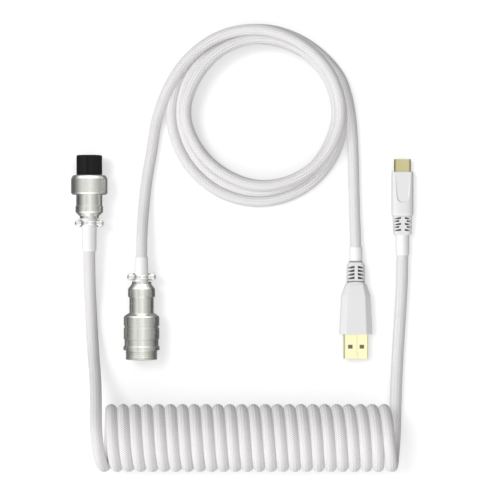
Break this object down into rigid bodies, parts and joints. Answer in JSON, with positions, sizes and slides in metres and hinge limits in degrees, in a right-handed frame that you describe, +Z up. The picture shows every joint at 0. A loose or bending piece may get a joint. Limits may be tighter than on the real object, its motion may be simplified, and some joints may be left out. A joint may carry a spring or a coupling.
{
  "type": "coiled keyboard cable set",
  "caption": "Braided keyboard cable in two leads, joined by a round screw coupling: a coiled lead to a USB-C plug and a straight lead to a USB-A plug.",
  "frame": {"origin": "on the table under the middle of the box round the four connectors", "axes": "+X from the coupling plug to the USB-C plug, +Y the way those two plugs point, +Z up"},
  "size_m": [0.17, 0.2209, 0.0333],
  "materials": {
    "braid": "fine white diamond braid over the cord",
    "white_moulding": "satin white moulding",
    "white_sleeve": "smooth white heat-shrink",
    "satin_nickel": "satin nickel plate over turned metal",
    "spring_steel": "bright plated steel",
    "gold_plate": "pale gold plate",
    "dull_gold_plate": "duller, greener gold plate",
    "contact_gold": "gold-plated contact",
    "black_insert": "moulded black thermoset",
    "tongue_plastic": "dark tongue",
    "inner_mould": "unpainted inner mould",
    "circuit_board": "green solder mask",
    "wire_insulation": "smooth wire insulation"
  },
  "bodies": {
    "coiled_lead": {"plug_insert": "black_insert", "plug_contact_sleeves": "contact_gold", "plug_front_shell": "satin_nickel", "plug_back_shell": "satin_nickel", "plug_clamp_saddle": "satin_nickel", "plug_clamp_screws": "spring_steel", "plug_heatshrink_sleeve": "white_sleeve", "plug_wires": "wire_insulation", "coiled_lead_plug_tail": "braid", "coiled_lead_coil": "braid"},
    "nut_carrier": {"plug_nut_split_ring": "spring_steel"},
    "coupling_nut": {"plug_coupling_nut": "satin_nickel"},
    "usb_c_end": {"usb_c_shell": "dull_gold_plate", "usb_c_insulator": "black_insert", "usb_c_contacts": "contact_gold", "usb_c_paddle_card": "circuit_board", "usb_c_inner_mould": "inner_mould", "usb_c_crimp": "spring_steel", "usb_c_cable_core": "wire_insulation", "usb_c_overmold": "white_moulding", "usb_c_boot": "white_moulding", "usb_c_sleeve": "white_sleeve", "coiled_lead_usb_c_tail": "braid"},
    "straight_lead": {"socket_shell": "satin_nickel", "socket_insert": "black_insert", "socket_pins": "contact_gold", "socket_collar": "satin_nickel", "socket_back_shell": "satin_nickel", "socket_clamp_saddle": "satin_nickel", "socket_clamp_screws": "spring_steel", "socket_heatshrink_sleeve": "white_sleeve", "socket_wires": "wire_insulation", "usb_a_shell": "gold_plate", "usb_a_tongue": "tongue_plastic", "usb_a_contacts": "contact_gold", "usb_a_inner_mould": "inner_mould", "usb_a_crimp": "spring_steel", "usb_a_cable_core": "wire_insulation", "usb_a_overmold": "white_moulding", "usb_a_boot": "white_moulding", "usb_a_sleeve": "white_sleeve", "straight_lead_socket_tail": "braid", "straight_lead_loops": "braid", "straight_lead_usb_a_tail": "braid"}
  },
  "joints": [
    {"name": "nut_slide", "type": "slide", "parent": "coiled_lead", "child": "nut_carrier", "axis": [0, 1, 0], "range_m": [-0.005, 0.0033]},
    {"name": "nut_spin", "type": "hinge", "parent": "nut_carrier", "child": "coupling_nut", "pos_m": [-0.076, 0.0359, 0.009], "axis": [0, 1, 0], "continuous": true},
    {"name": "coil_stretch", "type": "slide", "parent": "coiled_lead", "child": "usb_c_end", "axis": [1, 0, 0], "range_m": [0, 0.08], "stiffness_N_per_m": 20},
    {"name": "straight_lead_lift", "type": "slide", "parent": "coiled_lead", "child": "straight_lead", "axis": [0, 0, 1], "range_m": [0, 0.06]}
  ]
}
